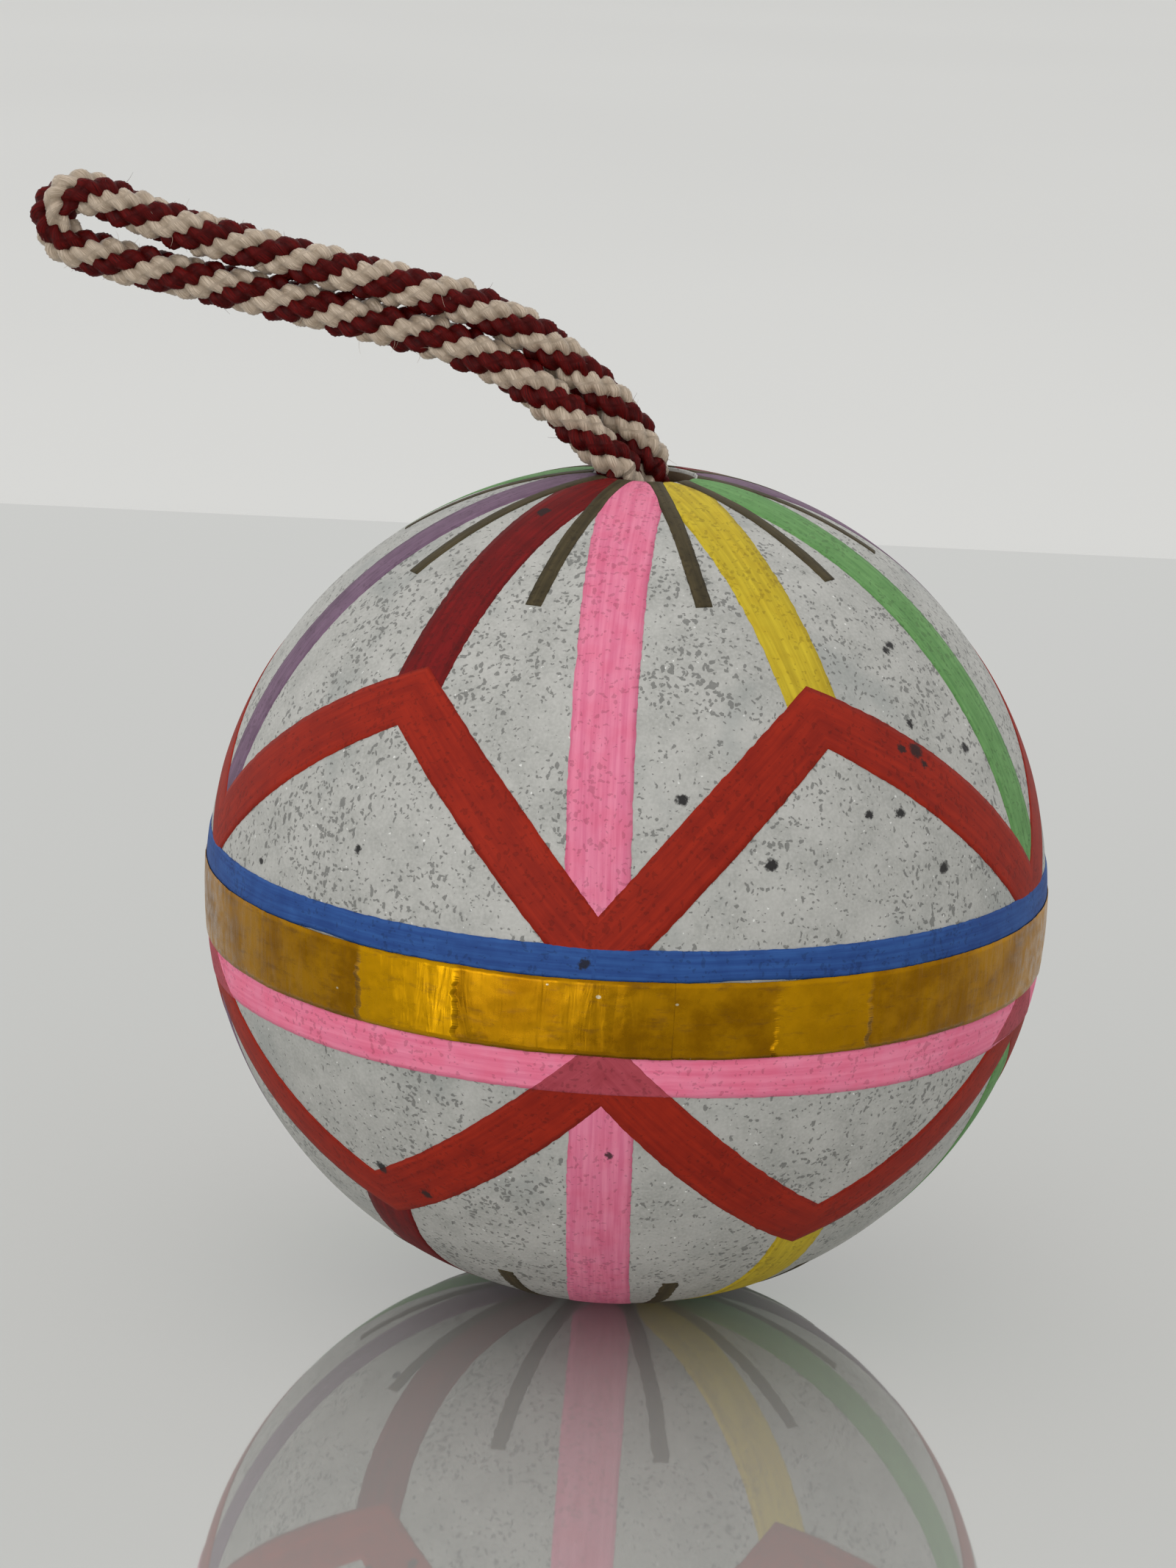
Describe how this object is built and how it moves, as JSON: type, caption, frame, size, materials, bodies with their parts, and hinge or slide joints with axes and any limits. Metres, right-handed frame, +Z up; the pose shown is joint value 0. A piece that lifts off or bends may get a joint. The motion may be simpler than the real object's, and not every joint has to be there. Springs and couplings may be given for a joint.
{
  "type": "hanging ball ornament",
  "caption": "Hollow painted ball in two half shells with a foil band over the seam and a twisted two-colour hanging cord.",
  "frame": {"origin": "centre of the ball", "axes": "+Z up through the cord hole, -Y towards the front of the painted pattern, the loop leans towards -X"},
  "size_m": [0.0737, 0.0604, 0.0786],
  "materials": {
    "shell_paint": "matt silvery white paint over pressed paper, speckled",
    "collar_paper": "raw paper",
    "gold_foil": "creased bright foil tape",
    "cord": "twisted silky cord, two dark red and two beige strands",
    "pellet": "raw matt",
    "paint_red": "brushed matt paint",
    "paint_dark_red": "brushed matt paint",
    "paint_pink": "brushed matt paint",
    "paint_yellow": "brushed matt paint",
    "paint_green": "brushed matt paint",
    "paint_purple": "brushed matt paint",
    "paint_blue": "brushed matt paint",
    "paint_olive": "brushed matt paint"
  },
  "bodies": {
    "ball": {"upper_shell": "shell_paint", "lower_shell": "shell_paint", "seam_collar": "collar_paper", "gold_foil_band": "gold_foil"},
    "cord_root": {"cord_legs": "cord", "stopper_knot": "cord", "cord_tails": "cord"},
    "loop": {"cord_bend": "cord", "cord_loop": "cord"},
    "pellet": {"rattle_pellet": "pellet"}
  },
  "joints": [
    {"name": "cord_swivel", "type": "hinge", "parent": "ball", "child": "cord_root", "pos_m": [0, 0, 0.03], "axis": [0, 0, 1], "continuous": true},
    {"name": "loop_lift", "type": "hinge", "parent": "cord_root", "child": "loop", "pos_m": [0, 0, 0.0305], "axis": [0, 1, 0], "range_deg": [-18, 72], "deforming": ["cord_bend"]},
    {"name": "pellet_roll", "type": "hinge", "parent": "ball", "child": "pellet", "pos_m": [0, 0, 0], "axis": [0, 1, 0], "range_deg": [-135, 135]}
  ]
}
